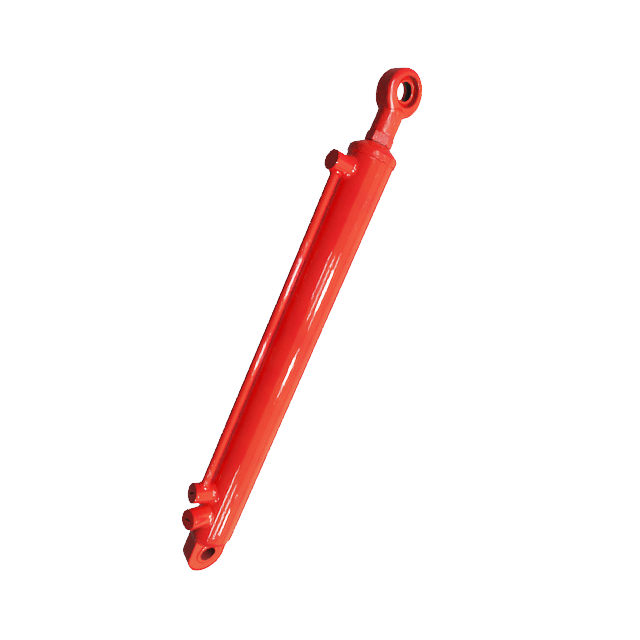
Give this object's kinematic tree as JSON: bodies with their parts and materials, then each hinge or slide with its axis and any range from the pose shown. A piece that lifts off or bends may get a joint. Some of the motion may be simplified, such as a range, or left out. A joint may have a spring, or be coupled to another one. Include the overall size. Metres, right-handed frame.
{
  "type": "double-acting hydraulic cylinder",
  "caption": "Welded double-acting hydraulic cylinder with a plain base eye, a spherical-bearing rod eye, side ports near the base and a transfer pipe to the rod end.",
  "frame": {"origin": "centre of the base eye's pin hole", "axes": "+Z along the barrel to the rod eye, Y along both pins, port bosses and transfer pipe towards -X"},
  "size_m": [0.1021, 0.073, 0.8195],
  "materials": {
    "barrel_paint": "gloss enamel, sprayed over the whole welded barrel",
    "forged_paint": "gloss enamel over a rough forging",
    "weld_paint": "gloss enamel over rippled weld bead",
    "rod_chrome": "hard chrome, ground and polished",
    "turned_steel": "turned, lightly oiled",
    "bearing_steel": "ground bearing steel, greased",
    "spring_steel": "phosphated spring steel",
    "seal_rubber": "matt nitrile rubber",
    "seal_polyurethane": "satin polyurethane",
    "backup_plastic": "PTFE, waxy",
    "guide_composite": "fabric-filled phenolic, matt"
  },
  "bodies": {
    "barrel": {"barrel_tube": "barrel_paint", "base_cap": "barrel_paint", "base_lug": "barrel_paint", "base_bush": "barrel_paint", "base_seam_weld": "barrel_paint", "base_lug_weld": "weld_paint", "rod_side_boss": "barrel_paint", "rod_side_boss_weld": "weld_paint", "port_a_boss": "barrel_paint", "port_a_boss_weld": "weld_paint", "port_b_boss": "barrel_paint", "port_b_boss_weld": "weld_paint", "transfer_pipe": "barrel_paint", "pipe_top_weld": "weld_paint", "pipe_bottom_weld": "weld_paint", "head_gland": "barrel_paint", "gland_oring": "seal_rubber", "gland_backup_ring": "backup_plastic", "rod_guide": "guide_composite", "rod_seal": "seal_polyurethane", "wiper_seal": "seal_polyurethane"},
    "port_a_washer": {"port_a_seal": "seal_rubber"},
    "port_a_screw": {"port_a_plug": "barrel_paint"},
    "port_b_washer": {"port_b_seal": "seal_rubber"},
    "port_b_screw": {"port_b_plug": "barrel_paint"},
    "piston_seals": {"piston_seal": "seal_polyurethane", "lower_wear_ring": "guide_composite", "upper_wear_ring": "guide_composite"},
    "rod": {"piston_rod": "rod_chrome", "piston": "turned_steel", "piston_oring": "seal_rubber", "piston_nut": "turned_steel", "jam_nut": "barrel_paint", "rod_eye": "forged_paint", "bearing_outer_ring": "bearing_steel", "bearing_circlip": "spring_steel"},
    "ball": {"bearing_ball": "bearing_steel"}
  },
  "joints": [
    {"name": "rod_slide", "type": "slide", "parent": "barrel", "child": "piston_seals", "axis": [0, 0, 1], "range_m": [0, 0.48]},
    {"name": "rod_turn", "type": "hinge", "parent": "piston_seals", "child": "rod", "pos_m": [0, 0, 0.1], "axis": [0, 0, 1], "continuous": true},
    {"name": "ball_tilt", "type": "hinge", "parent": "rod", "child": "ball", "pos_m": [0, 0, 0.755], "axis": [1, 0, 0], "range_deg": [-7, 7]},
    {"name": "port_a_out", "type": "slide", "parent": "barrel", "child": "port_a_washer", "axis": [-1, 0, 0], "range_m": [0, 0.0121]},
    {"name": "port_a_turn", "type": "hinge", "parent": "port_a_washer", "child": "port_a_screw", "pos_m": [-0.064, 0, 0.109], "axis": [-1, 0, 0], "range_deg": [0, 3240]},
    {"name": "port_b_out", "type": "slide", "parent": "barrel", "child": "port_b_washer", "axis": [-0.9759, -0.2181, 0], "range_m": [0, 0.0121]},
    {"name": "port_b_turn", "type": "hinge", "parent": "port_b_washer", "child": "port_b_screw", "pos_m": [-0.06246, -0.01396, 0.073], "axis": [-0.9759, -0.2181, 0], "range_deg": [0, 3240]}
  ],
  "couplings": [
    {"joint": "port_a_out", "follows": "port_a_turn", "m_per_rad": 0.00021279},
    {"joint": "port_b_out", "follows": "port_b_turn", "m_per_rad": 0.00021279}
  ]
}
